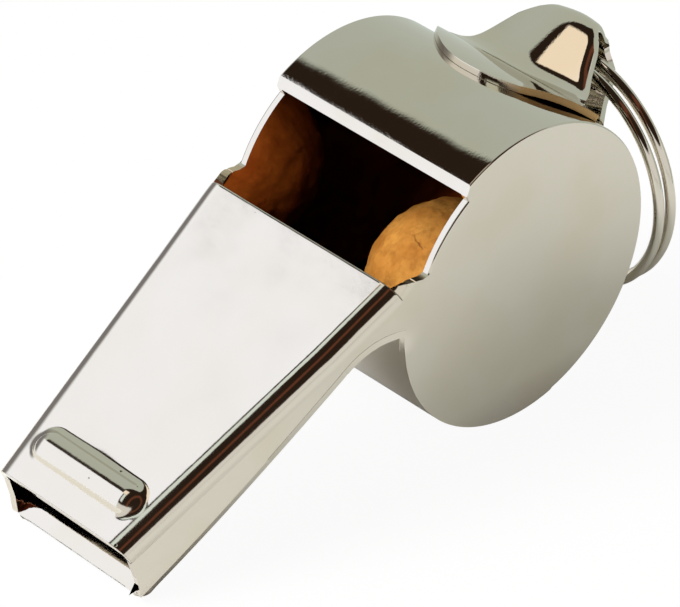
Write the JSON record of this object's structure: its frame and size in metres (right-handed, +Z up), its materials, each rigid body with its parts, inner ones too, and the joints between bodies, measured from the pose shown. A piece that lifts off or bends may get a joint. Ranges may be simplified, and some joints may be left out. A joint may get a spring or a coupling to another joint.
{
  "type": "sports whistle",
  "caption": "Pea whistle of plated sheet metal: round barrel with a sound window, tapered mouthpiece with a tooth bead, and a split ring hanging from a tail loop.",
  "frame": {"origin": "on the table under the middle of the bounding box, with the whistle lying on its barrel and its lower lip", "axes": "+Z up, X along the whistle with the mouth towards -X and the ring towards +X, +Y towards the whistle's left cheek"},
  "size_m": [0.054, 0.0206, 0.0249],
  "materials": {
    "nickel_plate": "polished nickel plate over brass sheet",
    "satin_plate": "satin nickel plate with fine pits",
    "ring_wire": "polished nickel-plated spring wire",
    "cork": "matte natural cork"
  },
  "bodies": {
    "whistle": {"mouthpiece_roof": "satin_plate", "mouthpiece_floor": "nickel_plate", "barrel_band": "nickel_plate", "left_cheek": "nickel_plate", "right_cheek": "nickel_plate", "tail_loop": "nickel_plate"},
    "ring": {"split_ring": "ring_wire"},
    "pea": {"cork_pea": "cork"}
  },
  "joints": [
    {"name": "ring_swing", "type": "hinge", "parent": "whistle", "child": "ring", "pos_m": [0.02422, 0, 0.02035], "axis": [0, -1, 0], "range_deg": [-6, 230]},
    {"name": "pea_orbit", "type": "hinge", "parent": "whistle", "child": "pea", "pos_m": [0.00988, 0, 0.0124], "axis": [0, 1, 0], "continuous": true}
  ]
}
